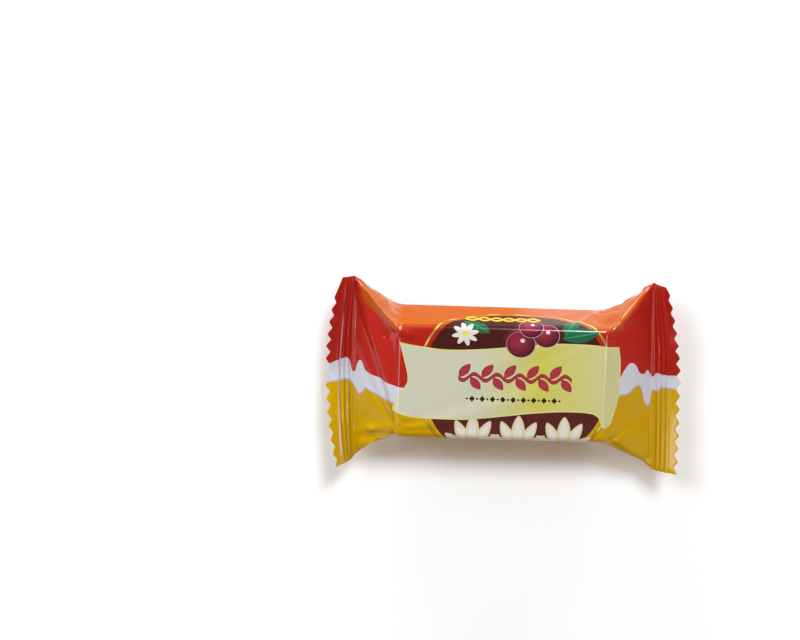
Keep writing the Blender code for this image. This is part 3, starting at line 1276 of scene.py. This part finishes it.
swing = ink.math("SINE", (along - VINE_AT[0]) * (2 * math.pi / VINE_PITCH)) * VINE_SWING
stem = STEM_HALF - abs(across - VINE_AT[1] - swing) * 0.75
leaves = ink.most(vine_leaves(2.1, 52, 3.9), vine_leaves(4.5, -52, 3.6))
on_vine = VINE_HALF - abs(along - VINE_AT[0] - VINE_CUT_SHIFT)
vine = ink.least(ink.most(stem, leaves), on_vine)
art.draw(vine + 0.10, VINE_DEEP)
art.draw(vine - 0.04, VINE)

step = ink.math("PINGPONG", along - VINE_AT[0], BEAD_PITCH / 2)
off_line = abs(across - BEAD_LINE)
lozenge = LOZENGE_HALF - step - off_line * 0.85
to_dot = step - BEAD_PITCH / 2
dot = DOT_RADIUS - ink.root(to_dot * to_dot + off_line * off_line)
beads = ink.least(ink.most(lozenge, dot), BEADS_HALF - abs(along - VINE_AT[0]))
art.draw(beads, INK)

# %% [markdown]
# ## A painted highlight on the left fin
#
# A painted highlight runs along the outermost ridge of the left fin, where the ridge catches the light. It
# is drawn as a curve with a thin pale stroke, which fades out near the top and stops near the bottom.

# %% Painted highlight on the left fin
# Painted highlight: a pale stroke where the outermost ridge of the left fin catches the light.
PAINTED_HIGHLIGHT = (0.56, 0.40, 0.45)
PAINTED_HIGHLIGHT_LINE = [
    (-40, -36.6), (-20, -36.5), (-10, -36.1), (0, -35.75), (9.7, -35.55), (16, -36.0), (20, -36.3),
    (40, -36.3)]
PAINTED_HIGHLIGHT_HALF = 0.13
PAINTED_HIGHLIGHT_TOP = 15.0
PAINTED_HIGHLIGHT_BOTTOM = -19.0
PAINTED_HIGHLIGHT_STRENGTH = 0.9

# The painted highlight's stroke, and the part of the fin where it shows.
painted_highlight = ink.inside(PAINTED_HIGHLIGHT_HALF - abs(along - line(across, PAINTED_HIGHLIGHT_LINE)), blur=0.12)
painted_highlight_part = ink.inside(PAINTED_HIGHLIGHT_TOP - across, blur=9.0) * ink.inside(across - PAINTED_HIGHLIGHT_BOTTOM, blur=1.0)
art.lay(painted_highlight * painted_highlight_part * PAINTED_HIGHLIGHT_STRENGTH, PAINTED_HIGHLIGHT)

# %% [markdown]
# ## A braid on the upper side wall
#
# Two golden strands cross each other again and again along the upper side wall. Each is a sine wave, and
# one runs against the other.

# %% Gold braid
BRAID = (0.72, 0.47, 0.02)
BRAID_DEEP = (0.30, 0.07, 0.01)
BRAID_AT = (-0.6, 17.4)
BRAID_HALF = 8.0
BRAID_PITCH = 5.2
BRAID_SWING = 1.05
STRAND_HALF = 0.34

braid_wave = ink.math("SINE", (along - BRAID_AT[0]) * (2 * math.pi / BRAID_PITCH)) * BRAID_SWING
over_strand = STRAND_HALF - abs(across - BRAID_AT[1] - braid_wave) * 0.72
under_strand = STRAND_HALF - abs(across - BRAID_AT[1] + braid_wave) * 0.72
on_braid = BRAID_HALF - abs(along - BRAID_AT[0])
braid = ink.least(ink.most(over_strand, under_strand), on_braid)
art.draw(braid + 0.12, BRAID_DEEP)
art.draw(braid - 0.03, BRAID)
print("nodes of the print:", len(ink.tree.nodes))

# %% [markdown]
# ## Gloss and fine wrinkles
#
# The film is smooth lacquered plastic: a clear gloss over a print that is dull in itself. So the gloss is
# the material's coat, and the print under it gets no shine of its own, only a faint bump for wrinkles too
# fine to model. The side walls are creased all over and have less gloss, most of all on the left.

# %% Finish of the film
GLOSS = 0.85
GLOSS_LOST = 0.68
WALL_FROM = 13.2
WALL_TO = 24.0
GLOSSY_FROM = 8.0
DULL_EVERYWHERE = 0.25
FINISH = {"Roughness": 0.6, "IOR": 1.5, "Specular IOR Level": 0.0, "Coat IOR": 1.5, "Coat Roughness": 0.13}

object_place = ink.node("TexCoord", result="Object")
fine = ink.node("TexNoise", {"noise_dimensions": "3D"},
                {"Vector": object_place, "Scale": 420.0, "Detail": 3.0, "Roughness": 0.55})
broad = ink.node("TexNoise", {"noise_dimensions": "3D"},
                 {"Vector": object_place, "Scale": 90.0, "Detail": 2.0})
height = fine * 0.25 + broad
bump = ink.node("Bump", {}, {"Strength": 0.06, "Distance": 0.00020, "Height": height})
on_wall = ink.share((abs(across) - WALL_FROM) * 0.8)
leftward = ink.share((GLOSSY_FROM - along) * 0.14)
on_body = ink.share((WALL_TO - abs(along)) * 0.5)
dull = on_wall * on_body * (DULL_EVERYWHERE + leftward * (1 - DULL_EVERYWHERE))
ink.feed("Base Color", art.colour)
ink.feed("Coat Weight", GLOSS - dull * GLOSS_LOST)
ink.feed("Normal", bump)
for name, setting in FINISH.items():
    ink.surface.inputs[name].default_value = setting

for piece in (film, flap):
    piece.data.materials.clear()
    piece.data.materials.append(ink.material)

# %% [markdown]
# ## The table's surface
#
# The table is plain, matt and nearly white, so that the lamps carry it past white as in the photograph.

# %% Table top
TABLE_WHITE = (0.97, 0.97, 0.97, 1)
table_top = Shader("white_table")
table_top.surface.inputs["Base Color"].default_value = TABLE_WHITE
table_top.surface.inputs["Roughness"].default_value = 0.6
table.data.materials.append(table_top.material)

# %% [markdown]
# ## Hand over
#
# The film stands for the solid, and both pieces move with its one body.

# %% Ride, replace and finish
for piece in (film, flap):
    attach(piece, "root")
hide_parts("wrapped_caramel")
